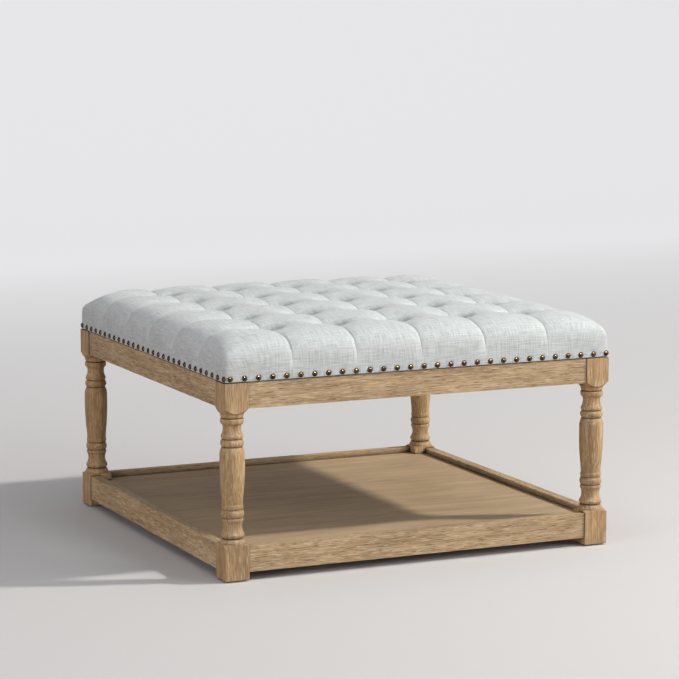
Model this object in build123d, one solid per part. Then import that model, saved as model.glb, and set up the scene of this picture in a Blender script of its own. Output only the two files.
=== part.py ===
from build123d import *
import math
import os

os.makedirs("parts", exist_ok=True)

# Ottoman coffee table: a tufted seat on a square frame of four turned legs with a low shelf.
# The origin is on the floor under the centre. +X runs right along the front, +Y to the back, +Z up.
# All lengths are in millimetres.

# Frame
table_side = 800            # across the outer faces of the leg blocks, the same both ways
frame_height = 369          # from the floor to the top of the aprons and legs
block_side = 48             # square blocks at both ends of a leg
block_arris = 1.5           # rounding of the blocks' upright edges
apron_height = 48
apron_thickness = 20
apron_inset = 3             # aprons and shelf rails stand back from the blocks' outer faces
rail_bottom = 17            # from the floor to the underside of the shelf rails
rail_height = 48
rail_thickness = 20
face_drop = 8.5             # how far a block's face runs on past the underside of the aprons
face_rise = 5               # and past the top of the shelf rails
upper_pommel = 11           # height of the turned cone that cuts the upper block's corners
lower_pommel = 4.4          # the same at the lower block
corner_clear = 0.6          # how far the cones run out past the block's corner edges

# Joints of the frame
slip = 0.05                 # radial clearance of pins, bolts, nails and screws in their holes
end_room = 0.5              # room past the end of a pin in a blind hole
dowel_diameter = 8
dowel_length = 40
dowel_edge = 12             # from a dowel's axis to the near edge of its rail
brace_thickness = 24
brace_drop = 8              # the braces stop this far above the underside of the aprons
brace_gap = 4               # from a leg's inner corner to its brace
bolt_diameter = 8
bolt_grip = 30              # length of the hanger bolt inside the leg
bolt_tail = 5               # length of the bolt past its nut
bolt_height = 16            # from the underside of the brace to the bolt's axis
washer_diameter = 22
washer_thickness = 1.8
nut_width = 13              # across the flats
nut_thickness = 6.5
glide_diameter = 24
glide_thickness = 3
glide_pin_diameter = 3
glide_pin_length = 12

# Shelf
panel_thickness = 12
panel_recess = 11           # from the top of the shelf rails down to the panel
panel_gap = 0.5             # round the panel's edge, for the wood to move
cleat_side = 16
cleat_screws_each = 3       # sideways into the rail
panel_screws_each = 2       # up into the panel
cleat_screw_margin = 60     # from the end of a cleat to its first screw
screw_diameter = 4
screw_head_diameter = 8
cleat_screw_length = 28
panel_screw_length = 24
head_sink = 0.3             # screw heads lie this far under the surface

# Seat deck and underside
deck_thickness = 18
deck_corner = 6             # rounding of its upright edges
deck_screw_length = 45
deck_screw_bite = 13.5      # how far its tip goes into the deck
deck_screw_spread = 56      # between the two screws of a brace
dust_cover_thickness = 0.8
dust_cover_gap = 0.3        # between the dust cover and the frame round it

# Cushion
seat_inset = 1              # the cover stands this far inside the blocks' outer faces
cover_thickness = 1.5
hem_width = 35              # the part of the cover that is folded under the deck
side_height = 35            # upright part of the seat's side, above the frame
shoulder_width = 95         # over which the seat's edge rolls from its side to its top
shoulder_height = 54
shoulder_power = 2.1        # fullness of that roll: 2 is a quarter ellipse
shoulder_step_shares = [0.18, 0.5, 1]   # where across the roll its cross-sections lie
edge_land = 3               # width of the flat that ends the roll at the seat's front and back faces
crown = 6                   # how much higher the middle of the seat is
tufts_each_way = 5
seam_dip = 5                # depth of a seam half way between two tufts
tuft_dip = 27               # depth of a tuft
pleat_depth = 2.5           # how far the pleats draw in the seat's sides, at the top of their upright part
pleat_radius = 24
pleat_clear = 2             # from the nail heads up to the pleats' lower ends
soft_gap = 0.3              # between the foam and the wadded cover
foam_thickness = 50.8
foam_margin = 6             # from the deck's edge to the foam's side
foam_shoulder = 38          # rounding of the foam's upper edges
foam_corner = 12            # rounding of its upright edges
foam_hole_diameter = 44     # hole through the foam at each tuft
twine_diameter = 2
stitch_depth = 4            # from the bottom of a tuft down to the end of its twine
anchor_diameter = 18        # washers that hold the twine under the deck

# Upholstery nails
nail_head_diameter = 11
nail_head_height = 3.6
nail_shank_diameter = 1.6
nail_shank_length = 9.5
nail_height = 8             # from the frame's top up to the nails' axis
nail_pitch = 28             # wanted; the row divides its length evenly
nail_near_margin = 5        # from the seat's corner to the last nail of a row
nail_far_margin = 11        # from the other corner to the first nail

overrun = 4                 # how far cutting bodies run past the faces that they cut

# Turned part of the leg, from the lower block's face to the upper one's. Each row is a height as a
# share of the turned length, a radius as a share of half the block's side, and the bulge of the arc
# from there to the next row as a share of the same: beads are over zero, coves under it.
turning_shares = [
    (0.000, 0.985, 0.030),
    (0.033, 0.860, 0.000),
    (0.040, 0.770, 0.000),
    (0.048, 0.870, 0.022),
    (0.069, 0.915, -0.125),
    (0.166, 0.800, 0.000),
    (0.170, 0.830, 0.020),
    (0.190, 0.830, 0.000),
    (0.197, 0.765, 0.000),
    (0.203, 0.825, 0.065),
    (0.252, 0.825, 0.000),
    (0.259, 0.765, 0.000),
    (0.265, 0.815, 0.035),
    (0.300, 0.800, -0.012),
    (0.404, 0.885, 0.014),
    (0.577, 0.972, 0.008),
    (0.665, 0.965, 0.050),
    (0.735, 0.830, 0.000),
    (0.741, 0.765, 0.000),
    (0.747, 0.830, 0.085),
    (0.793, 0.830, 0.000),
    (0.800, 0.765, 0.000),
    (0.806, 0.830, 0.035),
    (0.830, 0.835, -0.075),
    (0.908, 0.740, 0.000),
    (0.913, 0.800, 0.045),
    (0.942, 0.905, 0.020),
    (0.955, 0.880, 0.000),
    (0.961, 0.790, 0.000),
    (0.967, 0.860, 0.012),
    (0.991, 0.900, 0.000),
    (1.000, 0.985, 0.000),
]

# Places that follow from the sizes
half = table_side / 2
block_half = block_side / 2
leg_centre = half - block_half
leg_inner = half - block_side
apron_middle = half - apron_inset - apron_thickness / 2
apron_inner = half - apron_inset - apron_thickness
rail_middle = half - apron_inset - rail_thickness / 2
rail_inner = half - apron_inset - rail_thickness
apron_bottom = frame_height - apron_height
rail_top = rail_bottom + rail_height
turned_bottom = rail_top + face_rise
turned_top = apron_bottom - face_drop
panel_top = rail_top - panel_recess
panel_bottom = panel_top - panel_thickness
brace_bottom = apron_bottom + brace_drop
brace_height = frame_height - brace_bottom
deck_bottom = frame_height + cover_thickness
deck_top = deck_bottom + deck_thickness
deck_screw_start = deck_bottom + deck_screw_bite - deck_screw_length
seat_half = half - seat_inset
deck_half = seat_half - cover_thickness
seat_corner = deck_corner + cover_thickness
side_top = frame_height + side_height
tuft_pitch = 2 * seat_half / (tufts_each_way + 1)
tuft_lines = [tuft_pitch * (i - (tufts_each_way - 1) / 2) for i in range(tufts_each_way)]
pillow_lines = [tuft_pitch * (i - tufts_each_way / 2) for i in range(tufts_each_way + 1)]
tuft_places = [(x, y) for y in tuft_lines for x in tuft_lines]

corner_names = ["back_right", "back_left", "front_left", "front_right"]
side_names = ["back", "left", "front", "right"]


def quarter_turns(shape):
    """The shape at the back right or the back, then at the three other corners or sides."""
    return [Rot(0, 0, 90 * i) * shape for i in range(4)]


def rod(diameter, length, extra=0):
    """A rod that stands on the XY plane; extra widens its radius, for a hole."""
    return Cylinder(diameter / 2 + extra, length, align=(Align.CENTER, Align.CENTER, Align.MIN))


def group(shapes):
    """Several separate solids that share one node."""
    return Compound(children=[s if isinstance(s, Solid) else s.solid() for s in shapes])


def along_x(shape):
    return Rot(0, 90, 0) * shape


def along_y(shape):
    return Rot(-90, 0, 0) * shape


# Fasteners


def dowel(extra=0):
    """A dowel along X, half of it on each side of the joint."""
    length = dowel_length + (2 * end_room if extra else 0)
    return Pos(-length / 2, 0, 0) * along_x(rod(dowel_diameter, length, extra))


def dowel_places(middle, bottom, height):
    """The dowels of one rail's two ends; the rail is at the back."""
    heights = [bottom + dowel_edge, bottom + height - dowel_edge]
    return [(side * leg_inner, middle, z) for side in (-1, 1) for z in heights]


def countersunk_screw(length, extra=0):
    """A screw that points up, with its head's flat at the origin."""
    cone = (screw_head_diameter - screw_diameter) / 2
    head = Cone(screw_head_diameter / 2 + extra, screw_diameter / 2 + extra, cone,
                align=(Align.CENTER, Align.CENTER, Align.MIN))
    screw = head + rod(screw_diameter, length + (end_room if extra else 0), extra)
    if extra:
        screw += Pos(0, 0, -overrun) * rod(screw_head_diameter, overrun, extra)
    return screw


def even_places(span, count):
    return [span * (i / (count - 1) - 1 / 2) for i in range(count)]


# Legs


def turned_body():
    """The turned outline all the way up; past the block's corners it is wider than the block."""
    turned_length = turned_top - turned_bottom
    block_corner = block_half * math.sqrt(2) + corner_clear
    points = [(share[1] * block_half, turned_bottom + share[0] * turned_length) for share in turning_shares]
    edges = []
    for share, start, end in zip(turning_shares, points, points[1:]):
        if share[2] == 0:
            edges.append(Line(start, end))
        else:
            edges.append(SagittaArc(start, end, -share[2] * block_half))
    rest = Polyline(
        points[-1],
        (block_corner, turned_top + upper_pommel),
        (block_corner, frame_height + overrun),
        (0, frame_height + overrun),
        (0, -overrun),
        (block_corner, -overrun),
        (block_corner, turned_bottom - lower_pommel),
        points[0],
    )
    outline = Wire(edges + rest.edges())
    return revolve(Plane.XZ * Face(outline), Axis.Z)


def hanger_bolt(extra=0):
    """The back right corner's bolt, from inside the leg to past its nut."""
    past_leg = brace_gap + brace_thickness + washer_thickness + nut_thickness + bolt_tail
    length = bolt_grip + past_leg + (end_room if extra else 0)
    start = leg_inner + (bolt_grip + (end_room if extra else 0)) / math.sqrt(2)
    return Pos(start, start, brace_bottom + bolt_height) * diagonal(rod(bolt_diameter, length, extra))


def diagonal(shape):
    """Turns +Z to the direction from the back right corner to the middle."""
    return Rot(0, 0, 45) * (Rot(0, -90, 0) * shape)


def on_bolt(distance, shape):
    """Puts a shape on the hanger bolt, this far from the leg's inner corner."""
    place = leg_inner - distance / math.sqrt(2)
    return Pos(place, place, brace_bottom + bolt_height) * diagonal(shape)


def glide(extra=0):
    """The back right leg's glide: a disc on the floor and a pin that goes up into the leg."""
    disc = rod(glide_diameter, glide_thickness)
    pin = rod(glide_pin_diameter, glide_pin_length + (end_room if extra else 0), extra)
    return Pos(leg_centre, leg_centre, 0) * (disc + Pos(0, 0, glide_thickness) * pin)


def leg():
    """The back right leg, with its dowel holes, its bolt hole and the hole for its glide's pin."""
    square = extrude(RectangleRounded(block_side, block_side, block_arris), frame_height - glide_thickness)
    square = Pos(0, 0, glide_thickness) * square
    body = Pos(leg_centre, leg_centre, 0) * (square & turned_body())
    places = dowel_places(apron_middle, apron_bottom, apron_height)
    places += dowel_places(rail_middle, rail_bottom, rail_height)
    for place in places:
        if place[0] > 0:
            body -= Pos(*place) * dowel(slip)
            body -= Pos(place[1], place[0], place[2]) * (Rot(0, 0, 90) * dowel(slip))
    body -= hanger_bolt(slip)
    body -= glide(slip)
    return body


# Aprons, braces and shelf rails


def rail(middle, bottom, height, thickness):
    """The back apron or shelf rail, between the blocks, with its dowel holes."""
    bar = Pos(0, middle, bottom + height / 2) * Box(2 * leg_inner, thickness, height)
    for place in dowel_places(middle, bottom, height):
        bar -= Pos(*place) * dowel(slip)
    return bar


def brace_centre():
    return leg_inner - (brace_gap + brace_thickness / 2) / math.sqrt(2)


def deck_screw_places():
    """The back right brace's two deck screws, in plan."""
    offset = deck_screw_spread / 2 / math.sqrt(2)
    centre = brace_centre()
    return [(centre + offset, centre - offset), (centre - offset, centre + offset)]


def deck_screw(extra=0):
    return Pos(0, 0, deck_screw_start) * countersunk_screw(deck_screw_length, extra)


def corner_brace():
    """A block set across the corner, its ends flush against the two aprons."""
    centre = brace_centre()
    block = Pos(centre, centre, brace_bottom + brace_height / 2) * (
        Rot(0, 0, 45) * Box(brace_thickness, 2 * half, brace_height))
    inside = Pos(0, 0, brace_bottom + brace_height / 2) * Box(2 * apron_inner, 2 * apron_inner, brace_height)
    block = block & inside
    block -= hanger_bolt(slip)
    for x, y in deck_screw_places():
        block -= Pos(x, y, 0) * deck_screw(slip)
        bore = rod(screw_head_diameter, deck_screw_start - brace_bottom + overrun, slip)
        block -= Pos(x, y, brace_bottom - overrun) * bore
    return block


def brace_washer():
    ring = rod(washer_diameter, washer_thickness) - rod(bolt_diameter, washer_thickness, slip)
    return on_bolt(brace_gap + brace_thickness, ring)


def brace_nut():
    hexagon = extrude(RegularPolygon(nut_width / 2, 6, major_radius=False), nut_thickness)
    nut = hexagon - rod(bolt_diameter, nut_thickness, slip)
    return on_bolt(brace_gap + brace_thickness + washer_thickness, nut)


# Shelf


def cleat_screw_places():
    span = 2 * (leg_inner - panel_gap - cleat_screw_margin)
    return [(x, panel_bottom - cleat_side / 2) for x in even_places(span, cleat_screws_each)]


def panel_screw_places():
    """Half way between the cleat screws, so that the two sorts of screw stay apart."""
    span = 2 * (leg_inner - panel_gap - cleat_screw_margin) * (1 - 1 / (cleat_screws_each - 1))
    return even_places(span, panel_screws_each)


def cleat_screw(x, z, extra=0):
    screw = along_y(countersunk_screw(cleat_screw_length, extra))
    return Pos(x, rail_inner - cleat_side + head_sink, z) * screw


def panel_screw(x, extra=0):
    start = panel_bottom - cleat_side + head_sink
    return Pos(x, rail_inner - cleat_side / 2, start) * countersunk_screw(panel_screw_length, extra)


def shelf_cleat():
    """The strip inside the back shelf rail that carries the panel."""
    strip = Pos(0, rail_inner - cleat_side / 2, panel_bottom - cleat_side / 2) * Box(
        2 * (leg_inner - panel_gap), cleat_side, cleat_side)
    for x, z in cleat_screw_places():
        strip -= cleat_screw(x, z, slip)
    for x in panel_screw_places():
        strip -= panel_screw(x, slip)
    return strip


def shelf_rail():
    bar = rail(rail_middle, rail_bottom, rail_height, rail_thickness)
    for x, z in cleat_screw_places():
        bar -= cleat_screw(x, z, slip)
    return bar


def shelf_panel():
    """One board, cut out at its corners round the leg blocks."""
    side = 2 * (rail_inner - panel_gap)
    cut = 2 * (rail_inner - leg_inner + panel_gap)
    notch = Pos(rail_inner, rail_inner, 0) * Box(cut, cut, 2 * panel_thickness)
    board = Box(side, side, panel_thickness) - quarter_turns(notch)
    board = Pos(0, 0, panel_bottom + panel_thickness / 2) * board
    for x in panel_screw_places():
        for hole in quarter_turns(panel_screw(x, slip)):
            board -= hole
    return board


# Cushion


def roll_share(distance):
    """Height of the seat's shoulder, from 0 at its side to 1 at its top, this far in from the side."""
    reach = 1 - min(distance / shoulder_width, 1)
    return (1 - reach ** shoulder_power) ** (1 / shoulder_power)


def crown_height(x, y):
    return crown * (1 - (x / seat_half) ** 2) * (1 - (y / seat_half) ** 2)


def cushion_sections():
    """Each cross-section's place in Y, its distance from the seat's edge, and how much tuft it has."""
    sections = [(y, seat_half - abs(y), 1) for y in tuft_lines]
    sections += [(y, seat_half - abs(y), 0) for y in pillow_lines[1:-1]]
    for side in (-1, 1):
        sections.append((side * seat_half, edge_land, 0))
        sections.append((side * (seat_half - 2 * edge_land), 2 * edge_land, 0))
        for share in shoulder_step_shares:
            step = shoulder_width * share
            sections.append((side * (seat_half - step), step, 0))
    return sorted(sections)


def cushion_face(y, distance, tuft_share):
    """One cross-section of the tufted seat, in lines and arcs."""
    rise_share = roll_share(distance)
    shoulder_end = seat_half - min(distance, shoulder_width)
    arch_dip = seam_dip * tuft_share
    seam_depth = seam_dip + (tuft_dip - seam_dip) * tuft_share

    def top(x, dip):
        return side_top + (shoulder_height + crown_height(x, y) - dip) * rise_share

    def shoulder_middle():
        step = (seat_half - shoulder_end) * (1 - math.cos(math.pi / 4))
        share = roll_share(step) / roll_share(seat_half - shoulder_end)
        return (seat_half - step, side_top + (top(shoulder_end, arch_dip) - side_top) * share)

    lines = [shoulder_end] + tuft_lines[::-1] + [-shoulder_end]
    points = [(x, top(x, arch_dip if abs(x) == shoulder_end else seam_depth)) for x in lines]
    middle = shoulder_middle()
    edges = [
        Line((-seat_half, frame_height), (seat_half, frame_height)),
        Line((seat_half, frame_height), (seat_half, side_top)),
        ThreePointArc((seat_half, side_top), middle, points[0]),
    ]
    for start, end in zip(points, points[1:]):
        x = (start[0] + end[0]) / 2
        edges.append(ThreePointArc(start, (x, top(x, arch_dip)), end))
    edges.append(ThreePointArc(points[-1], (-middle[0], middle[1]), (-seat_half, side_top)))
    edges.append(Line((-seat_half, side_top), (-seat_half, frame_height)))
    return Plane((0, y, 0), x_dir=(1, 0, 0), z_dir=(0, -1, 0)) * Face(Wire(edges))


def cushion():
    """The outer form of the tufted seat, lofted from front to back, with its upright edges rounded."""
    form = loft([cushion_face(*section) for section in cushion_sections()])
    return form - quarter_turns(corner_offcut())


def corner_offcut():
    """What the rounding takes off the seat's back right corner."""
    height = side_height + shoulder_height + crown + 2 * overrun
    centre = seat_half - seat_corner
    reach = seat_corner + overrun
    place = centre + reach / 2
    square = Pos(place, place, frame_height - overrun) * extrude(Rectangle(reach, reach), height)
    return square - Pos(centre, centre, frame_height - overrun) * rod(2 * seat_corner, height)


def side_pleats():
    """Slanted rods that draw in the seat's upright sides in line with the tufts."""
    foot = frame_height + nail_height + nail_head_diameter / 2 + pleat_clear
    slant = math.degrees(math.atan(pleat_depth / (side_top - foot)))
    length = 2 * (side_height + shoulder_height)
    pleat = Rot(-slant, 0, 0) * Cylinder(pleat_radius, length)
    front = [Pos(x, -seat_half - pleat_radius, foot) * pleat for x in tuft_lines]
    return [Rot(0, 0, 90 * i) * p for p in front for i in range(4)]


def foam_block(extra=0):
    """The slab, or the space that it takes with a gap round it."""
    side = 2 * (deck_half - foam_margin + extra)
    slab = extrude(RectangleRounded(side, side, foam_corner), foam_thickness + extra)
    top_edges = slab.faces().sort_by(Axis.Z)[-1].edges()
    return Pos(0, 0, deck_top) * fillet(top_edges, foam_shoulder)


def foam_holes(extra=0):
    height = foam_thickness + 2 * overrun
    return [Pos(x, y, deck_top - overrun) * rod(foam_hole_diameter, height, extra) for x, y in tuft_places]


def foam_core():
    return foam_block() - foam_holes()


def twine_top():
    return side_top + shoulder_height - tuft_dip - stitch_depth


def deck_board():
    outline = RectangleRounded(2 * deck_half, 2 * deck_half, deck_corner)
    return Pos(0, 0, deck_bottom) * extrude(outline, deck_thickness)


def seat_cover(nail_holes):
    """The tufted cover with its wadding, which fills the foam's holes; its hem is folded under the deck."""
    foam_space = foam_block(soft_gap) - foam_holes(-soft_gap)
    opening = 2 * (seat_half - hem_width)
    cover = cushion() - foam_space - deck_board()
    cover -= Pos(0, 0, frame_height) * Box(opening, opening, 2 * cover_thickness)
    twine_hole = rod(twine_diameter, twine_top() - deck_top, slip)
    twine_holes = [Pos(x, y, deck_top) * twine_hole for x, y in tuft_places]
    return cover - side_pleats() - twine_holes - nail_holes


def seat_deck(nail_holes):
    holes = [Pos(x, y, deck_bottom - overrun) * rod(twine_diameter, deck_thickness + 2 * overrun, slip)
             for x, y in tuft_places]
    for x, y in deck_screw_places():
        holes += quarter_turns(Pos(x, y, 0) * deck_screw(slip))
    return deck_board() - holes - nail_holes


def twine():
    strand = rod(twine_diameter, twine_top() - frame_height)
    return group([Pos(x, y, frame_height) * strand for x, y in tuft_places])


def twine_anchors():
    disc = rod(anchor_diameter, cover_thickness) - rod(twine_diameter, cover_thickness, slip)
    return group([Pos(x, y, frame_height) * disc for x, y in tuft_places])


def dust_cover():
    """A thin cloth under the deck, its corners cut off at the braces."""
    side = 2 * (apron_inner - dust_cover_gap)
    brace_face = brace_centre() - brace_thickness / 2 / math.sqrt(2) - dust_cover_gap
    depth = 2 * math.sqrt(2) * (half - brace_face)
    corner = Pos(half, half, 0) * (Rot(0, 0, 45) * Box(depth, 2 * table_side, 2 * dust_cover_thickness))
    sheet = Box(side, side, dust_cover_thickness) - quarter_turns(corner)
    return Pos(0, 0, frame_height - dust_cover_thickness / 2) * sheet


def nail(extra=0):
    """A domed nail driven towards +Y, its head's back on the XZ plane; with extra, the nail's hole."""
    if extra:
        hole = rod(nail_shank_diameter, overrun + nail_shank_length + end_room, extra)
        return along_y(Pos(0, 0, -overrun) * hole)
    shank = rod(nail_shank_diameter, nail_shank_length)
    radius = nail_head_diameter / 2
    dome = Wire([
        Line((0, 0), (radius, 0)),
        SagittaArc((radius, 0), (0, -nail_head_height), nail_rim_bulge()),
        Line((0, -nail_head_height), (0, 0)),
    ])
    head = revolve(Plane.XZ * Face(dome), Axis.Z)
    return along_y(head + shank)


def nail_rim_bulge():
    """Sagitta of half the dome's arc, for a spherical cap of the head's width and height."""
    radius = nail_head_diameter / 2
    sphere = (radius ** 2 + nail_head_height ** 2) / (2 * nail_head_height)
    chord = math.hypot(radius, nail_head_height)
    return sphere - math.sqrt(sphere ** 2 - (chord / 2) ** 2)


def nail_row(extra=0):
    """The front row, from its far margin at the left to its near one at the right."""
    start = -seat_half + nail_far_margin
    span = 2 * seat_half - nail_far_margin - nail_near_margin
    count = round(span / nail_pitch) + 1
    return [Pos(start + span * i / (count - 1), -seat_half, frame_height + nail_height) * nail(extra)
            for i in range(count)]


def all_dowels(middle, bottom, height):
    rods = []
    for place in dowel_places(middle, bottom, height):
        rods += quarter_turns(Pos(*place) * dowel())
    return group(rods)


nodes = {}

for name, shape in zip(corner_names, quarter_turns(leg())):
    nodes["leg_" + name] = shape
apron = rail(apron_middle, apron_bottom, apron_height, apron_thickness)
for name, shape in zip(side_names, quarter_turns(apron)):
    nodes["apron_" + name] = shape
for name, shape in zip(side_names, quarter_turns(shelf_rail())):
    nodes["shelf_rail_" + name] = shape
for name, shape in zip(corner_names, quarter_turns(corner_brace())):
    nodes["corner_brace_" + name] = shape
for name, shape in zip(side_names, quarter_turns(shelf_cleat())):
    nodes["shelf_cleat_" + name] = shape

nodes["shelf_panel"] = shelf_panel()
nodes["apron_dowels"] = all_dowels(apron_middle, apron_bottom, apron_height)
nodes["shelf_rail_dowels"] = all_dowels(rail_middle, rail_bottom, rail_height)
nodes["hanger_bolts"] = group(quarter_turns(hanger_bolt()))
nodes["brace_washers"] = group(quarter_turns(brace_washer()))
nodes["brace_nuts"] = group(quarter_turns(brace_nut()))
nodes["foot_glides"] = group(quarter_turns(glide()))
cleat_screws = [cleat_screw(x, z) for x, z in cleat_screw_places()]
panel_screws = [panel_screw(x) for x in panel_screw_places()]
deck_screws = [Pos(x, y, 0) * deck_screw() for x, y in deck_screw_places()]
nodes["cleat_screws"] = group([turned for screw in cleat_screws for turned in quarter_turns(screw)])
nodes["panel_screws"] = group([turned for screw in panel_screws for turned in quarter_turns(screw)])
nodes["deck_screws"] = group([turned for screw in deck_screws for turned in quarter_turns(screw)])

nail_holes = [Rot(0, 0, 90 * i) * hole for hole in nail_row(slip) for i in range(4)]
nodes["seat_deck"] = seat_deck(nail_holes)
nodes["dust_cover"] = dust_cover()
nodes["foam_core"] = foam_core()
nodes["seat_cover"] = seat_cover(nail_holes)
nodes["tufting_twine"] = twine()
nodes["twine_anchors"] = twine_anchors()
for i, name in enumerate(["front", "right", "back", "left"]):
    nodes["nails_" + name] = group([Rot(0, 0, 90 * i) * n for n in nail_row()])

for name, shape in nodes.items():
    export_step(shape, "parts/" + name + ".step")
    print(name, "solids", len(shape.solids()), "volume", round(shape.volume, 1))
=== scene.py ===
import math

import bpy
import numpy as np
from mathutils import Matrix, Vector


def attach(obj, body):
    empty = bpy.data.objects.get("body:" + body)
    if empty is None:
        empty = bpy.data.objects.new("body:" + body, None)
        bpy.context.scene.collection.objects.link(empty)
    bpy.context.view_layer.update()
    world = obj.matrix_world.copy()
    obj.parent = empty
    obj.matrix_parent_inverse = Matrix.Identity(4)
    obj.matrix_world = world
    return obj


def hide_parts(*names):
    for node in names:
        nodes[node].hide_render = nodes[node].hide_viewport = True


# Tufted ottoman coffee table. Metres, origin on the floor under the centre, +X right, +Y back.
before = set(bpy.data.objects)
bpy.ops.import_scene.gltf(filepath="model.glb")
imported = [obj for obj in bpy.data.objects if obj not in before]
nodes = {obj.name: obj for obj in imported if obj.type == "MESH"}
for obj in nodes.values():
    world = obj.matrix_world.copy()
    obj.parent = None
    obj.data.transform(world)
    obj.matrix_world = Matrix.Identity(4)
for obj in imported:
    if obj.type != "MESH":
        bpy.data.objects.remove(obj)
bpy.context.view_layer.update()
print("frame loaded:", len(nodes), "nodes")

tiny = 1e-12  # keeps a division from meeting zero


# Small helpers

def linearColour(hexText):  # sRGB hex to the linear colour that shaders take
    channels = [int(hexText[i:i + 2], 16) / 255 for i in (1, 3, 5)]
    return [c / 12.92 if c <= 0.04045 else ((c + 0.055) / 1.055) ** 2.4 for c in channels] + [1.0]


def addNode(tree, kind, inputs=None, **settings):  # adds a node, sets it and links what feeds it
    node = tree.nodes.new(kind)
    for key, value in settings.items():
        setattr(node, key, value)
    for key, value in (inputs or {}).items():
        if isinstance(value, bpy.types.NodeSocket):
            tree.links.new(value, node.inputs[key])
        else:
            node.inputs[key].default_value = value
    return node


def startMaterial(name, sockets):  # a new material, with the constants of its main shader set
    material = bpy.data.materials.new(name)
    material.use_nodes = True
    shader = material.node_tree.nodes["Principled BSDF"]
    for socket, value in sockets.items():
        shader.inputs[socket].default_value = value
    return material, material.node_tree, shader


def setRamp(ramp, stops, colours):  # hex colours at their places along the ramp
    while len(ramp.elements) < len(stops):
        ramp.elements.new(0.5)
    for element, stop, colour in zip(ramp.elements, stops, colours):
        element.position = stop
        element.color = linearColour(colour)


def dress(material, *names):  # gives carried-over nodes their finish
    for name in names:
        mesh = nodes[name].data
        mesh.materials.clear()
        mesh.materials.append(material)


def addPiece(name, data):  # puts a mesh, a lamp or a camera into the scene
    piece = bpy.data.objects.new(name, data)
    bpy.context.scene.collection.objects.link(piece)
    return piece


# Weathered limed oak: open pores that hold pale lime, soft grey brown wood, a dull waxed surface

oak = dict(
    ringWidth=9, ringLength=220,       # growth rings, mm across and along the grain
    streakWidth=1.6, streakLength=28,  # limed streaks, drawn wider than the real 1 mm so that they show
    poreWidth=1.3, poreLength=20,
    patchWidth=45, patchLength=160,    # slow changes of tone
    dark="#A0855F", middle="#B59973", pale="#C3AA82", ringStops=(0.30, 0.48, 0.66),
    lime="#DCCBAE", limeAmount=0.8, limeRange=(0.53, 0.66),  # ranges are of each pattern's values
    pore="#6A5034", poreAmount=0.75, poreRange=(0.55, 0.66),
    patchRange=(0.3, 0.7), patchTone=(0.86, 1.10),
    grime="#3A2A19", hollowShadeAmount=0.9, grimeReach=0.006, hollowShadeRange=(0.45, 0.93),  # painted shade: darker brown where ambient occlusion finds grooves and corners
    roughness=0.62, specular=0.22, bump=0.35, bumpHeight=0.0004,
)


def oakMaterial(name, grainAxis, turn=0.0, **changes):
    s = dict(oak, **changes)
    material, tree, shader = startMaterial(name, {
        "Roughness": s["roughness"], "Specular IOR Level": s["specular"]})
    place = addNode(tree, "ShaderNodeTexCoord").outputs["Object"]
    turned = addNode(tree, "ShaderNodeMapping", {"Vector": place, "Rotation": (0, 0, turn)}).outputs["Vector"]
    layers = {}
    noises = (("ring", 3, 0.9), ("streak", 4, 0.3), ("pore", 2, 0.0), ("patch", 2, 0.4))
    for layer, detail, distortion in noises:
        scale = [1000 / s[layer + "Width"]] * 3
        scale[grainAxis] = 1000 / s[layer + "Length"]
        stretched = addNode(tree, "ShaderNodeMapping", {"Vector": turned, "Scale": scale})
        layers[layer] = addNode(tree, "ShaderNodeTexNoise", {
            "Vector": stretched.outputs["Vector"], "Scale": 1.0, "Detail": detail, "Distortion": distortion,
        }).outputs["Fac"]
    ring = addNode(tree, "ShaderNodeValToRGB", {"Fac": layers["ring"]})
    setRamp(ring.color_ramp, s["ringStops"], (s["dark"], s["middle"], s["pale"]))
    lime = addNode(tree, "ShaderNodeMapRange", {
        "Value": layers["streak"], "From Min": s["limeRange"][0], "From Max": s["limeRange"][1],
        "To Min": 0.0, "To Max": s["limeAmount"]})
    limed = addNode(tree, "ShaderNodeMix", {
        0: lime.outputs["Result"], 6: ring.outputs["Color"], 7: linearColour(s["lime"])}, data_type="RGBA")
    deep = addNode(tree, "ShaderNodeMapRange", {
        "Value": layers["pore"], "From Min": s["poreRange"][0], "From Max": s["poreRange"][1],
        "To Min": 0.0, "To Max": s["poreAmount"]})
    pored = addNode(tree, "ShaderNodeMix", {
        0: deep.outputs["Result"], 6: limed.outputs[2], 7: linearColour(s["pore"])}, data_type="RGBA")
    patch = addNode(tree, "ShaderNodeMapRange", {
        "Value": layers["patch"], "From Min": s["patchRange"][0], "From Max": s["patchRange"][1],
        "To Min": s["patchTone"][0], "To Max": s["patchTone"][1]})
    patched = addNode(tree, "ShaderNodeHueSaturation", {
        "Color": pored.outputs[2], "Value": patch.outputs["Result"]})
    # painted shade: the wood is mixed toward a dark brown where ambient occlusion finds grooves, corners and
    # narrow gaps
    hollow = addNode(tree, "ShaderNodeAmbientOcclusion", {"Distance": s["grimeReach"]}, samples=8)
    paintedShade = addNode(tree, "ShaderNodeMapRange", {
        "Value": hollow.outputs["AO"], "From Min": s["hollowShadeRange"][0], "From Max": s["hollowShadeRange"][1],
        "To Min": s["hollowShadeAmount"], "To Max": 0.0})
    finished = addNode(tree, "ShaderNodeMix", {
        0: paintedShade.outputs["Result"], 6: patched.outputs["Color"], 7: linearColour(s["grime"])},
        data_type="RGBA")
    tree.links.new(finished.outputs[2], shader.inputs["Base Color"])
    relief = addNode(tree, "ShaderNodeMath", {
        0: layers["streak"], 1: deep.outputs["Result"]}, operation="SUBTRACT")
    bump = addNode(tree, "ShaderNodeBump", {
        "Strength": s["bump"], "Distance": s["bumpHeight"], "Height": relief.outputs["Value"]})
    tree.links.new(bump.outputs["Normal"], shader.inputs["Normal"])
    return material


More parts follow.
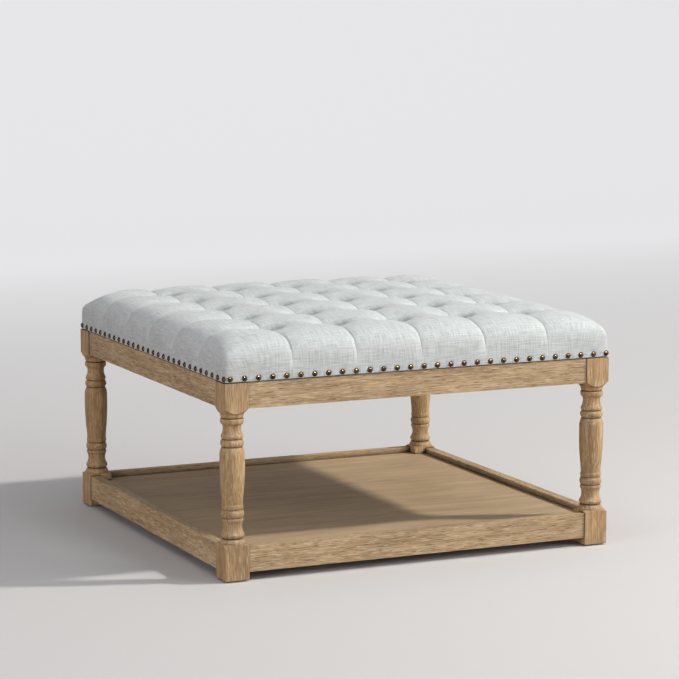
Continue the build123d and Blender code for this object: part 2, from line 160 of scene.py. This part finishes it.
oakX = oakMaterial("limedOakAlongX", 0)
oakY = oakMaterial("limedOakAlongY", 1)
railOakX = oakMaterial("limedOakRailAlongX", 0, grimeReach=0.016)  # painted shade reaches further inside the shelf's rim, darkening the rails' inner faces
railOakY = oakMaterial("limedOakRailAlongY", 1, grimeReach=0.016)
oakZ = oakMaterial(
    "limedOakTurned", 2, dark="#9A7C54", middle="#AF8F65", pale="#BFA074", streakLength=30, poreLength=22,
    limeAmount=0.6, poreAmount=0.6)
shelfOak = oakMaterial(
    "limedOakVeneer", 0, ringWidth=14, ringLength=420, streakWidth=2.4, streakLength=110, limeAmount=0.14,
    poreAmount=0.16, dark="#BBA07C", middle="#C1A683", pale="#C8AD8A")
rawOak = dict(limeAmount=0.1, dark="#9C8059", pale="#C9AC80")  # hidden blocks, grain across the corner
rawOakRising = oakMaterial("rawOakRising", 0, math.radians(-45), **rawOak)
rawOakFalling = oakMaterial("rawOakFalling", 0, math.radians(45), **rawOak)
dress(oakZ, *[n for n in nodes if n.startswith("leg_")])
dress(oakX, "apron_front", "apron_back", "shelf_cleat_front", "shelf_cleat_back")
dress(oakY, "apron_left", "apron_right", "shelf_cleat_left", "shelf_cleat_right")
dress(railOakX, "shelf_rail_front", "shelf_rail_back")
dress(railOakY, "shelf_rail_left", "shelf_rail_right")
dress(shelfOak, "shelf_panel")
dress(rawOakRising, "corner_brace_back_left", "corner_brace_front_right")
dress(rawOakFalling, "corner_brace_back_right", "corner_brace_front_left")
print("oak dressed")


# Hidden timber and metal

plywood = dict(
    glue="#9E7F55", face="#CDB58D", stops=(0.03, 0.10), plyThickness=0.0015, grain=60.0, roughness=0.7)


def birchPlywood(name, s):  # sanded birch plywood: pale faces, darker glue lines between thin plies
    material, tree, shader = startMaterial(name, {"Roughness": s["roughness"]})
    place = addNode(tree, "ShaderNodeTexCoord").outputs["Object"]
    height = addNode(tree, "ShaderNodeSeparateXYZ", {"Vector": place}).outputs["Z"]
    plies = addNode(tree, "ShaderNodeMath", {0: height, 1: s["plyThickness"]}, operation="DIVIDE")
    within = addNode(tree, "ShaderNodeMath", {0: plies.outputs["Value"]}, operation="FRACT")
    grain = addNode(tree, "ShaderNodeTexNoise", {"Vector": place, "Scale": s["grain"], "Detail": 4.0})
    mixed = addNode(tree, "ShaderNodeMath", {
        0: within.outputs["Value"], 1: grain.outputs["Fac"]}, operation="MULTIPLY")
    ramp = addNode(tree, "ShaderNodeValToRGB", {"Fac": mixed.outputs["Value"]})
    setRamp(ramp.color_ramp, s["stops"], (s["glue"], s["face"]))
    tree.links.new(ramp.outputs["Color"], shader.inputs["Base Color"])
    return material


beech = dict(dark="#B98F5F", pale="#D3AD7B", stops=(0.4, 0.6), fleck=500.0, roughness=0.6)


def beechDowel(name, s):  # turned beech: short dark flecks on an even pinkish tan
    material, tree, shader = startMaterial(name, {"Roughness": s["roughness"]})
    place = addNode(tree, "ShaderNodeTexCoord").outputs["Object"]
    fleck = addNode(tree, "ShaderNodeTexNoise", {"Vector": place, "Scale": s["fleck"], "Detail": 2.0})
    ramp = addNode(tree, "ShaderNodeValToRGB", {"Fac": fleck.outputs["Fac"]})
    setRamp(ramp.color_ramp, s["stops"], (s["dark"], s["pale"]))
    tree.links.new(ramp.outputs["Color"], shader.inputs["Base Color"])
    return material


metals = dict(
    antiqueBrass=dict(  # browned brass, polished and lacquered
        dark="#1A120A", pale="#4C3A22", roughness=0.2, grain=260.0, lacquer=0.4),
    zincSteel=dict(  # bright zinc plate, faint spangle
        dark="#8E9094", pale="#B9BBBE", roughness=0.42, grain=900.0, lacquer=0.0),
)
tarnish = dict(stops=(0.36, 0.60), wornRange=(0.35, 0.65), duller=0.14, brighter=0.06, lacquerRoughness=0.10)


def metalMaterial(name, s, t):
    material, tree, shader = startMaterial(name, {
        "Metallic": 1.0, "Coat Weight": s["lacquer"], "Coat Roughness": t["lacquerRoughness"]})
    place = addNode(tree, "ShaderNodeTexCoord").outputs["Object"]
    spots = addNode(tree, "ShaderNodeTexNoise", {"Vector": place, "Scale": s["grain"], "Detail": 3.0})
    ramp = addNode(tree, "ShaderNodeValToRGB", {"Fac": spots.outputs["Fac"]})
    setRamp(ramp.color_ramp, t["stops"], (s["dark"], s["pale"]))
    tree.links.new(ramp.outputs["Color"], shader.inputs["Base Color"])
    worn = addNode(tree, "ShaderNodeMapRange", {
        "Value": spots.outputs["Fac"], "From Min": t["wornRange"][0], "From Max": t["wornRange"][1],
        "To Min": s["roughness"] + t["duller"], "To Max": s["roughness"] - t["brighter"]})
    tree.links.new(worn.outputs["Result"], shader.inputs["Roughness"])
    return material


plainFinishes = dict(
    blackCambric=dict(dark="#1D1D1F", pale="#34343A", roughness=0.95, grain=1400.0),  # spun, dull and fuzzy
    flaxTwine=dict(dark="#B7A98C", pale="#D8CDB5", roughness=0.9, grain=1800.0),      # waxed
    mouldedNylon=dict(dark="#4A4038", pale="#5A4E44", roughness=0.5, grain=300.0),    # brown, evenly satin
)
plainRelief = dict(stops=(0.35, 0.65), bump=0.3, bumpHeight=0.0002)


def plainMaterial(name, relief):
    s = dict(plainFinishes[name], **relief)
    material, tree, shader = startMaterial(name, {"Roughness": s["roughness"]})
    place = addNode(tree, "ShaderNodeTexCoord").outputs["Object"]
    fibre = addNode(tree, "ShaderNodeTexNoise", {"Vector": place, "Scale": s["grain"], "Detail": 3.0})
    ramp = addNode(tree, "ShaderNodeValToRGB", {"Fac": fibre.outputs["Fac"]})
    setRamp(ramp.color_ramp, s["stops"], (s["dark"], s["pale"]))
    bump = addNode(tree, "ShaderNodeBump", {
        "Strength": s["bump"], "Distance": s["bumpHeight"], "Height": fibre.outputs["Fac"]})
    tree.links.new(ramp.outputs["Color"], shader.inputs["Base Color"])
    tree.links.new(bump.outputs["Normal"], shader.inputs["Normal"])
    return material


dress(birchPlywood("birchPlywood", plywood), "seat_deck")
dress(beechDowel("beechDowel", beech), "apron_dowels", "shelf_rail_dowels")
dress(metalMaterial("antiqueBrass", metals["antiqueBrass"], tarnish),
      "nails_front", "nails_right", "nails_back", "nails_left")
dress(metalMaterial("zincSteel", metals["zincSteel"], tarnish), "hanger_bolts", "brace_washers", "brace_nuts",
      "cleat_screws", "panel_screws", "deck_screws", "twine_anchors")
dress(plainMaterial("blackCambric", plainRelief), "dust_cover")
dress(plainMaterial("flaxTwine", plainRelief), "tufting_twine")
dress(plainMaterial("mouldedNylon", plainRelief), "foot_glides")
print("fittings dressed")


# Woven linen: thick and thin threads both ways, dull with a little fuzz. The real thread is about 1 mm wide;
# it is drawn at nearly twice that, so that the weave shows from where the camera stands

linen = dict(
    thread=0.0017, slubWidth=0.0024, slubLength=0.034,
    wander=0.0005, wanderScale=55.0,  # how far the threads stray from a straight line, and how often
    darkSlub="#A6B0B2", base="#C7CECE", paleSlub="#E0E5E4", slubStops=(0.34, 0.5, 0.66), slubRoughness=0.6,
    roughness=0.88, specular=0.2, sheen=0.25, sheenRoughness=0.6, bump=0.5, bumpHeight=0.0006,
)


def linenMaterial(name, s):
    material, tree, shader = startMaterial(name, {
        "Roughness": s["roughness"], "Specular IOR Level": s["specular"],
        "Sheen Weight": s["sheen"], "Sheen Roughness": s["sheenRoughness"]})
    flat = addNode(tree, "ShaderNodeUVMap", uv_map="weave").outputs["UV"]
    drift = addNode(tree, "ShaderNodeTexNoise", {"Vector": flat, "Scale": s["wanderScale"], "Detail": 2.0})
    centred = addNode(tree, "ShaderNodeVectorMath", {
        0: drift.outputs["Color"], 1: (0.5, 0.5, 0.5)}, operation="SUBTRACT")
    moved = addNode(tree, "ShaderNodeVectorMath", {
        0: centred.outputs["Vector"], 1: (s["wander"],) * 3, 2: flat}, operation="MULTIPLY_ADD")
    turns = addNode(tree, "ShaderNodeVectorMath", {
        0: moved.outputs["Vector"], "Scale": math.pi / s["thread"]}, operation="SCALE")
    wave = addNode(tree, "ShaderNodeVectorMath", {0: turns.outputs["Vector"]}, operation="SINE")
    signed = addNode(tree, "ShaderNodeSeparateXYZ", {"Vector": wave.outputs["Vector"]})
    rounded = addNode(tree, "ShaderNodeVectorMath", {0: wave.outputs["Vector"]}, operation="ABSOLUTE")
    profile = addNode(tree, "ShaderNodeSeparateXYZ", {"Vector": rounded.outputs["Vector"]})
    parity = addNode(tree, "ShaderNodeMath", {
        0: signed.outputs["X"], 1: signed.outputs["Y"]}, operation="MULTIPLY")
    warpOver = addNode(tree, "ShaderNodeMath", {
        0: parity.outputs["Value"], 1: 0.0}, operation="GREATER_THAN")
    slubs = []
    for width, length in ((s["slubWidth"], s["slubLength"]), (s["slubLength"], s["slubWidth"])):
        stretched = addNode(tree, "ShaderNodeMapping", {"Vector": flat, "Scale": (1 / width, 1 / length, 1)})
        slub = addNode(tree, "ShaderNodeTexNoise", {
            "Vector": stretched.outputs["Vector"], "Scale": 1.0, "Detail": 3.0,
            "Roughness": s["slubRoughness"]})
        ramp = addNode(tree, "ShaderNodeValToRGB", {"Fac": slub.outputs["Fac"]})
        setRamp(ramp.color_ramp, s["slubStops"], (s["darkSlub"], s["base"], s["paleSlub"]))
        slubs.append((slub.outputs["Fac"], ramp.outputs["Color"]))
    colour = addNode(tree, "ShaderNodeMix", {
        0: warpOver.outputs["Value"], 6: slubs[1][1], 7: slubs[0][1]}, data_type="RGBA")
    tree.links.new(colour.outputs[2], shader.inputs["Base Color"])
    warp = addNode(tree, "ShaderNodeMath", {0: profile.outputs["X"], 1: slubs[0][0]}, operation="MULTIPLY")
    weft = addNode(tree, "ShaderNodeMath", {0: profile.outputs["Y"], 1: slubs[1][0]}, operation="MULTIPLY")
    height = addNode(tree, "ShaderNodeMix", {
        0: warpOver.outputs["Value"], 2: weft.outputs["Value"], 3: warp.outputs["Value"]}, data_type="FLOAT")
    bump = addNode(tree, "ShaderNodeBump", {
        "Strength": s["bump"], "Distance": s["bumpHeight"], "Height": height.outputs[0]})
    tree.links.new(bump.outputs["Normal"], shader.inputs["Normal"])
    return material


# The tufted seat: a square of cloth over foam, drawn down at 25 blind tufts and pleated over the edges.
# Pairs of values are for the creases along Y and those along X, where nothing else is said

seat = dict(
    half=0.399,                    # to the cover's outer faces
    roll=0.083, drop=0.048,        # width and height of the rolled edge
    sideTop=0.405, sideFoot=0.3722,  # the upright side, from the roll down to where it turns under
    foldRadius=0.0018, footFade=0.004,
    foldPlaces=(0.2, 0.4, 0.6, 0.8, 1.0, 1.6),  # grid lines round the fold, which ends at 1
    fullness=2.7,                  # 2 is a quarter ellipse
    crown=0.010,
    squareness=(6.0, 26),          # of the plan corners, up on the roll and down at the nails
    squareFade=(0.5, 0.8),
    slump=((0.006, 0.010), (0.003, 0.007)),  # of the corners: left front and back, right front and back
    tufts=5, pitch=0.133, tuftScatter=0.0022, tuftPull=(0.92, 1.06),
    fineStep=0.0009, coarseStep=0.0030,      # of the grid, at a crease and away from it
    creaseZone=(0.0045, 0.013),
    samples=20001,                 # that place the grid lines
    waves=((0.0012, 23, 41, 1.3), (0.0009, 61, -37, 0.0)),  # of the creases: depth, turn per metre, start
    valley=(0.0078, 0.0008),       # depth between two tufts
    valleyFoot=0.400, valleyRise=0.045,      # height where the valleys begin, and up to where they deepen
    leftFlank=(4.5, 2.2),          # how late the cloth drops into a valley from its left
    rightFlank=(1.5, 1.9),
    valleyTurn=(0.48, 0.80),       # 1 meets in a point, less meets in a fold
    deepest=0.9995,                # just short of 1, where the fold would be a slit
    pit=(0.032, 0.0160, 2.0), dish=(0.008, 0.040, 1.8),  # at each tuft: depth, radius and steepness
    tuftHalfWidth=0.012,
    pleat=(0.0102, 0.0065),        # depth over the rolled edge, front and back, and at the sides
    pleatFrom=2.1, pleatFade=0.05,           # pitches from the middle where a crease turns into a pleat
    pleatFoot=(0.381, 0.384), pleatTop=(0.434, 0.430),
    nailHeight=0.377, nailStart=-0.388, nailEnd=0.394, nailCount=29,
    nailDimple=0.0010, nailDimpleRadius=0.006,
    nailSkin=(0.008, 0.004),       # how far behind the face a dimple starts, and where it is whole
    hemTop=0.37045, hemBottom=0.3692, hemInner=0.364,
    deckSide=0.3976, deckTop=0.38855, deckCorner=0.0061,
    seed=7,
)


def ease(value):
    value = np.clip(value, 0, 1)
    return value * value * (3 - 2 * value)


def nearestLine(s, place):  # number of the nearest line of tufts, 0 in the middle
    lastLine = s["tufts"] // 2
    return np.clip(np.round(place / s["pitch"]), -lastLine, lastLine)


def gridLines(s, arc, side, fold):  # places across the cloth, closer together at the creases
    sideEnd = s["half"] - s["roll"] + arc + side
    place = np.linspace(-sideEnd, sideEnd, s["samples"])
    toCrease = np.abs(place - nearestLine(s, place) * s["pitch"])
    near, far = s["creaseZone"]
    step = s["fineStep"] + (s["coarseStep"] - s["fineStep"]) * ease((toCrease - near) / (far - near))
    passed = np.concatenate([[0], np.cumsum((1 / step[1:] + 1 / step[:-1]) / 2 * np.diff(place))])
    middle = np.interp(np.linspace(0, passed[-1], int(passed[-1]) | 1), passed, place)
    under = sideEnd + fold * np.array(s["foldPlaces"])
    return np.concatenate([-under[::-1], middle, under])


def gridQuads(count):  # numbers of a square grid's points, row by row, and the faces between them
    index = np.arange(count * count).reshape(count, count)
    quads = np.stack([index[:-1, :-1], index[1:, :-1], index[1:, 1:], index[:-1, 1:]], -1).reshape(-1, 4)
    return index, quads


def surfaceNormals(points):
    normal = np.cross(np.gradient(points, axis=0), np.gradient(points, axis=1))
    return normal / (np.linalg.norm(normal, axis=2, keepdims=True) + tiny)


def plainSeat(s, a, b, arc, side):  # the seat's form before it is tufted
    flatHalf = s["half"] - s["roll"]
    awayA = np.maximum((np.abs(a) - flatHalf) / arc, 0)
    awayB = np.maximum((np.abs(b) - flatHalf) / arc, 0)
    away = np.maximum(awayA, awayB)
    corner = ease(np.minimum(awayA, awayB) / np.maximum(away, tiny))  # 1 on a corner's diagonal
    soft, square = s["squareness"]
    squareFrom, squareOver = s["squareFade"]
    power = soft + (square - soft) * ease((away - squareFrom) / squareOver)
    length = np.maximum((awayA ** power + awayB ** power) ** (1 / power), tiny)
    onRoll = np.minimum(away, 1)
    out = np.where(away > 0, np.sin(onRoll * math.pi / 2) ** (2 / s["fullness"]), 0)
    up = np.cos(onRoll * math.pi / 2) ** (2 / s["fullness"])
    slump = np.array(s["slump"])[(a > 0).astype(int), (b > 0).astype(int)]
    below = np.maximum(away - 1, 0) * arc
    turn = np.clip((below - side) / s["foldRadius"], 0, math.pi / 2)
    flatUnder = np.maximum(below - side - s["foldRadius"] * math.pi / 2, 0)
    inset = s["foldRadius"] * (1 - np.cos(turn)) + flatUnder
    shrink = 1 - inset / s["half"]
    x = np.sign(a) * (np.minimum(np.abs(a), flatHalf) + s["roll"] * out * awayA / length) * shrink
    y = np.sign(b) * (np.minimum(np.abs(b), flatHalf) + s["roll"] * out * awayB / length) * shrink
    z = s["sideTop"] + s["drop"] * up - np.minimum(below, side) - s["foldRadius"] * np.sin(turn)
    z = z - slump * corner * 4 * onRoll * (1 - onRoll)
    dome = np.clip(1 - (x / s["half"]) ** 2, 0, 1) * np.clip(1 - (y / s["half"]) ** 2, 0, 1)
    return np.stack([x, y, z + s["crown"] * dome], -1)


def tuftDepths(s, points):  # how far each point is drawn in
    x, y, z = points[..., 0], points[..., 1], points[..., 2]
    rng = np.random.default_rng(s["seed"])
    pitch, scatter, each = s["pitch"], s["tuftScatter"], (s["tufts"], s["tufts"])
    lineX, lineY = nearestLine(s, x), nearestLine(s, y)
    shiftX = rng.uniform(-scatter, scatter, each)
    shiftY = rng.uniform(-scatter, scatter, each)
    tuft = (lineX + s["tufts"] // 2).astype(int), (lineY + s["tufts"] // 2).astype(int)
    tuftX = lineX * pitch + shiftX[tuft]
    tuftY = lineY * pitch + shiftY[tuft]
    near = np.hypot(np.maximum(np.abs(x - tuftX) - s["tuftHalfWidth"], 0), y - tuftY)
    pull = rng.uniform(*s["tuftPull"], each)[tuft]
    hollows = (s["pit"], s["dish"])
    depth = sum(pull * size * np.exp(-(near / radius) ** steep) for size, radius, steep in hollows)
    onTop = ease((z - s["valleyFoot"]) / s["valleyRise"])
    wave = sum(size * np.sin(alongX * x + alongY * y + start) for size, alongX, alongY, start in s["waves"])
    for across, along, line, way in ((x, y, lineX, 0), (y, x, lineY, 1)):
        offset = across - line * pitch + wave
        reach = 1 - np.minimum(np.abs(offset) / (pitch / 2), 1)  # 1 on the crease, 0 half way to the next
        flank = np.where(offset < 0, s["leftFlank"][way], s["rightFlank"][way])
        section = 1 - (1 - np.minimum(reach, s["deepest"]) ** flank) ** s["valleyTurn"][way]
        outside = ease((np.abs(along) - s["pleatFrom"] * pitch) / s["pleatFade"])
        over = ease((z - s["pleatFoot"][way]) / (s["pleatTop"][way] - s["pleatFoot"][way]))
        valley, pleat = s["valley"][way] * onTop * (1 - outside), s["pleat"][way] * over * outside
        depth = depth + section * (valley + pleat)
    return depth


def nailDepths(s, points):  # each nail pulls a small dimple into the cloth
    x, y, z = points[..., 0], points[..., 1], points[..., 2]
    step = (s["nailEnd"] - s["nailStart"]) / (s["nailCount"] - 1)
    skin, fill = s["nailSkin"]
    depth = np.zeros_like(z)
    for along, face in ((x, -y), (y, x), (-x, y), (-y, -x)):
        nail = np.clip(np.round((along - s["nailStart"]) / step), 0, s["nailCount"] - 1)
        gap = np.hypot(along - (nail * step + s["nailStart"]), z - s["nailHeight"])
        onFace = ease((face - (s["half"] - skin)) / fill)
        depth = depth + s["nailDimple"] * np.exp(-(gap / s["nailDimpleRadius"]) ** 2) * onFace
    return depth


cloth = dict(  # the cloth simulation that lets the pads swell between the tufts
    step=0.0056, pressure=2.5, frames=20, cap=0.006, quality=6, mass=0.3, shrink=0.0,
    tension=15.0, compression=12.0, shear=5.0, bending=0.5,
    heldTuft=0.012, heldBelow=0.383, heldCrease=0.5, fade=0.030,
)


def settledCloth(s, c, arc, side, lines):  # how far the cloth moves, at the fine grid's places
    sideEnd = s["half"] - s["roll"] + arc + side
    coarse = np.linspace(-sideEnd, sideEnd, int(2 * sideEnd / c["step"]) | 1)
    a, b = np.meshgrid(coarse, coarse, indexing="ij")
    start = plainSeat(s, a, b, arc, side)
    start = start - surfaceNormals(start) * tuftDepths(s, start)[..., None]
    count = len(coarse)
    index, quads = gridQuads(count)
    mesh = bpy.data.meshes.new("settlingCloth")
    mesh.from_pydata(start.reshape(-1, 3).tolist(), [], quads.tolist())
    piece = addPiece("settlingCloth", mesh)

    toLineA = np.abs(a - nearestLine(s, a) * s["pitch"])
    toLineB = np.abs(b - nearestLine(s, b) * s["pitch"])
    held = (np.hypot(toLineA, toLineB) < c["heldTuft"]) | (start[..., 2] < c["heldBelow"])
    group = piece.vertex_groups.new(name="held")
    group.add(index[toLineA < c["step"] / 2].tolist(), c["heldCrease"], "REPLACE")
    group.add(index[held].tolist(), 1.0, "REPLACE")
    settings = piece.modifiers.new("settle", "CLOTH").settings
    settings.quality = c["quality"]
    settings.mass = c["mass"]
    settings.tension_stiffness = c["tension"]
    settings.compression_stiffness = c["compression"]
    settings.shear_stiffness = c["shear"]
    settings.bending_stiffness = c["bending"]
    settings.shrink_min = c["shrink"]
    settings.vertex_group_mass = "held"
    settings.use_pressure = True
    settings.uniform_pressure_force = c["pressure"]
    settings.effector_weights.gravity = 0
    scene = bpy.context.scene
    for frameNumber in range(1, c["frames"] + 1):
        scene.frame_set(frameNumber)
    settled = np.zeros(count * count * 3)
    piece.evaluated_get(bpy.context.evaluated_depsgraph_get()).data.vertices.foreach_get("co", settled)
    bpy.data.objects.remove(piece)
    scene.frame_set(1)
    moved = settled.reshape(count, count, 3) - start
    length = np.linalg.norm(moved, axis=2, keepdims=True)
    print("cloth settled, furthest move in mm:", round(float(length.max()) * 1000, 1), "middle:",
          round(float(np.median(length)) * 1000, 2))
    moved = moved * np.minimum(1, c["cap"] / np.maximum(length, tiny))
    moved = moved * ease((start[..., 2] - c["heldBelow"]) / c["fade"])[..., None]

    place = np.interp(lines, coarse, np.arange(count))  # spread to the fine grid by a cubic spline's weights
    first = np.clip(place.astype(int), 1, count - 3)
    f = np.clip(place - first, 0, 1)
    weights = np.stack([
        (1 - f) ** 3, 3 * f ** 3 - 6 * f ** 2 + 4, -3 * f ** 3 + 3 * f ** 2 + 3 * f + 1, f ** 3]) / 6
    spread = np.zeros((len(lines), count))
    for k in range(len(weights)):
        spread[np.arange(len(lines)), first - 1 + k] = weights[k]
    return np.tensordot(spread, np.tensordot(spread, moved, (1, 0)), (1, 1)).transpose(1, 0, 2)


def seatPoints(s):  # the outer face of the linen, on a grid, and each point's place on the flat cloth
    quarter = np.linspace(0, math.pi / 2, 400)
    profile = np.stack([s["roll"] * np.sin(quarter) ** (2 / s["fullness"]),
                        s["drop"] * np.cos(quarter) ** (2 / s["fullness"])])
    arc = float(np.linalg.norm(np.diff(profile, axis=1), axis=0).sum())
    side = s["sideTop"] - s["sideFoot"]
    lines = gridLines(s, arc, side, s["foldRadius"] * math.pi / 2)
    a, b = np.meshgrid(lines, lines, indexing="ij")
    points = plainSeat(s, a, b, arc, side)
    aboveFold = ease((points[..., 2] - s["sideFoot"]) / s["footFade"])[..., None]
    depths = (tuftDepths(s, points) + nailDepths(s, points))[..., None]
    points = points - surfaceNormals(points) * depths * aboveFold
    points = points + settledCloth(s, cloth, arc, side, lines)
    return points, np.stack([a, b], -1)


def makeSeat(s):
    points, flat = seatPoints(s)
    index, quads = gridQuads(len(points))
    edge = np.concatenate([index[:-1, 0], index[-1, :-1], index[:0:-1, -1], index[0, :0:-1]])
    vertices = [points.reshape(-1, 3)]
    faces = quads.tolist()
    outer = vertices[0][edge]
    square = outer / np.abs(outer[:, :2]).max(axis=1)[:, None]  # the edge's points on a unit square
    previous = edge
    start = index.size
    rings = (  # under the hem and up round the deck: half width, corner radius, height
        (s["hemInner"], 0, s["hemBottom"]), (s["hemInner"], 0, s["hemTop"]),
        (s["deckSide"], s["deckCorner"], s["hemTop"]), (s["deckSide"], s["deckCorner"], s["deckTop"]))
    for halfWidth, radius, height in rings:
        ring = square * halfWidth
        beyond = np.maximum(np.abs(ring[:, :2]) - (halfWidth - radius), 0)
        rounded = beyond * radius / np.maximum(np.linalg.norm(beyond, axis=1), tiny)[:, None]
        ring[:, :2] = np.sign(ring[:, :2]) * (np.minimum(np.abs(ring[:, :2]), halfWidth - radius) + rounded)
        ring[:, 2] = height
        vertices.append(ring)
        now = np.arange(start, start + len(edge))
        faces += np.stack([np.roll(previous, -1), previous, now, np.roll(now, -1)], -1).tolist()
        previous = now
        start += len(edge)
    faces.append(previous[::-1].tolist())

    mesh = bpy.data.meshes.new("tuftedSeat")
    mesh.from_pydata(np.concatenate(vertices).tolist(), [], faces)
    mesh.update()
    smooth = np.zeros(len(faces), bool)
    smooth[:len(quads)] = True
    mesh.polygons.foreach_set("use_smooth", smooth)
    weave = np.concatenate([flat.reshape(-1, 2)] + [ring[:, :2] for ring in vertices[1:]])
    corners = np.zeros(len(mesh.loops), int)
    mesh.loops.foreach_get("vertex_index", corners)
    mesh.uv_layers.new(name="weave").data.foreach_set("uv", weave[corners].astype(np.float32).ravel())
    mesh.materials.append(linenMaterial("wovenLinen", linen))
    return addPiece("tuftedSeat", mesh)


tuftedSeat = makeSeat(seat)
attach(tuftedSeat, "root")
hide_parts("seat_cover", "foam_core")
print("seat made:", len(tuftedSeat.data.polygons), "faces")


# Studio: a pale floor that curves up behind, and soft lamps. The gleam lamp only lights the nails' polish

studio = dict(
    floorColour="#D4D3D3", bounceColour="#86746A",  # as seen, and the warmer tone that it throws up
    floorRoughness=0.7, floorSpecular=0.2,
    floorHalf=12.0, floorFront=-9.0, floorBack=5.5, coveRadius=2.0, coveSteps=15, wallTop=7.0,
    glowColour="#ECECEE", glow=(0.0, 0.9), glowDepth=(0.6, 4.5),  # evens the backdrop, from near to far
    worldColour="#F4F5F8", worldStrength=0.28,
)
lampAim = (0.0, 0.0, 0.3)
lamps = dict(
    key=dict(place=(5.7, -2.48, 4.8), size=0.42, power=468, colour="#FFFBF5"),
    fill=dict(place=(2.7, -3.1, 1.5), size=1.8, power=64, colour="#FFFFFF"),
    left=dict(place=(-5.0, -2.4, 1.1), size=2.0, power=93, colour="#FFF8FB"),
    over=dict(place=(0.0, 0.0, 4.5), size=3.0, power=31, colour="#FFFFFF"),
    gleam=dict(place=(-0.1, -4.0, 4.7), size=2.2, power=1300, colour="#FFFFFF", glossOnly=True),
)


def floorMaterial(name, s):
    material, tree, shader = startMaterial(name, {
        "Roughness": s["floorRoughness"], "Specular IOR Level": s["floorSpecular"]})
    ray = addNode(tree, "ShaderNodeLightPath")
    seen = addNode(tree, "ShaderNodeMath", {
        0: ray.outputs["Is Camera Ray"], 1: ray.outputs["Is Glossy Ray"]}, operation="MAXIMUM")
    shown = addNode(tree, "ShaderNodeMix", {
        0: seen.outputs["Value"], 6: linearColour(s["bounceColour"]), 7: linearColour(s["floorColour"])},
        data_type="RGBA")
    tree.links.new(shown.outputs[2], shader.inputs["Base Color"])
    place = addNode(tree, "ShaderNodeTexCoord").outputs["Object"]
    depth = addNode(tree, "ShaderNodeSeparateXYZ", {"Vector": place}).outputs["Y"]
    farOff = addNode(tree, "ShaderNodeMapRange", {
        "Value": depth, "From Min": s["glowDepth"][0], "From Max": s["glowDepth"][1],
        "To Min": s["glow"][0], "To Max": s["glow"][1]})
    evened = addNode(tree, "ShaderNodeMath", {
        0: seen.outputs["Value"], 1: farOff.outputs["Result"]}, operation="MULTIPLY")
    glow = addNode(tree, "ShaderNodeEmission", {"Color": linearColour(s["glowColour"]), "Strength": 1.0})
    mixed = addNode(tree, "ShaderNodeMixShader", {
        0: evened.outputs["Value"], 1: shader.outputs["BSDF"], 2: glow.outputs["Emission"]})
    tree.links.new(mixed.outputs["Shader"], tree.nodes["Material Output"].inputs["Surface"])
    return material


def makeFloor(s):
    turns = [math.radians(90 * i / s["coveSteps"]) for i in range(s["coveSteps"] + 1)]
    back, radius, wide = s["floorBack"], s["coveRadius"], s["floorHalf"]
    profile = [(s["floorFront"], 0.0)]
    profile += [(back + radius * math.sin(turn), radius * (1 - math.cos(turn))) for turn in turns]
    profile.append((back + radius, s["wallTop"]))
    vertices = [(x, y, z) for y, z in profile for x in (-wide, wide)]
    faces = [(2 * i, 2 * i + 1, 2 * i + 3, 2 * i + 2) for i in range(len(profile) - 1)]
    mesh = bpy.data.meshes.new("studioFloor")
    mesh.from_pydata(vertices, [], faces)
    mesh.polygons.foreach_set("use_smooth", [True] * len(faces))
    mesh.materials.append(floorMaterial("paleFloorPaint", s))
    floor = addPiece("studioFloor", mesh)


def makeWorld(s):
    world = bpy.data.worlds.new("softDaylight")
    world.use_nodes = True
    background = world.node_tree.nodes["Background"]
    background.inputs["Color"].default_value = linearColour(s["worldColour"])
    background.inputs["Strength"].default_value = s["worldStrength"]
    bpy.context.scene.world = world


def makeLamp(name, s):
    lamp = bpy.data.lights.new(name, "AREA")
    lamp.shape = "SQUARE"
    lamp.size = s["size"]
    lamp.energy = s["power"]
    lamp.color = linearColour(s["colour"])[:3]
    holder = addPiece(name, lamp)
    holder.visible_diffuse = not s.get("glossOnly", False)
    holder.location = s["place"]
    holder.rotation_euler = (Vector(lampAim) - Vector(s["place"])).to_track_quat("-Z", "Y").to_euler()


makeFloor(studio)
makeWorld(studio)
for lampName, lampSettings in lamps.items():
    makeLamp(lampName + "Lamp", lampSettings)
print("studio lit")


# Camera, from lengths and corners read off the photograph

camera = dict(
    aim=(0.010, 0.0, 0.3743), distance=5.338, azimuth=-24.41, elevation=8.18,
    focalPixels=2661.8, imagePixels=679, sensorWidth=36.0, clipEnd=50.0,
)


def makeCamera(s):
    lens = bpy.data.cameras.new("photoCamera")
    lens.sensor_width = s["sensorWidth"]
    lens.lens = s["sensorWidth"] * s["focalPixels"] / s["imagePixels"]
    lens.clip_end = s["clipEnd"]
    azimuth, elevation = math.radians(s["azimuth"]), math.radians(s["elevation"])
    level = math.cos(elevation)
    back = Vector((math.sin(azimuth) * level, -math.cos(azimuth) * level, math.sin(elevation)))
    holder = addPiece("photoCamera", lens)
    holder.location = Vector(s["aim"]) + back * s["distance"]
    holder.rotation_euler = (-back).to_track_quat("-Z", "Y").to_euler()
    bpy.context.scene.camera = holder


makeCamera(camera)
bpy.context.scene.view_settings.view_transform = "Standard"

print("camera set")
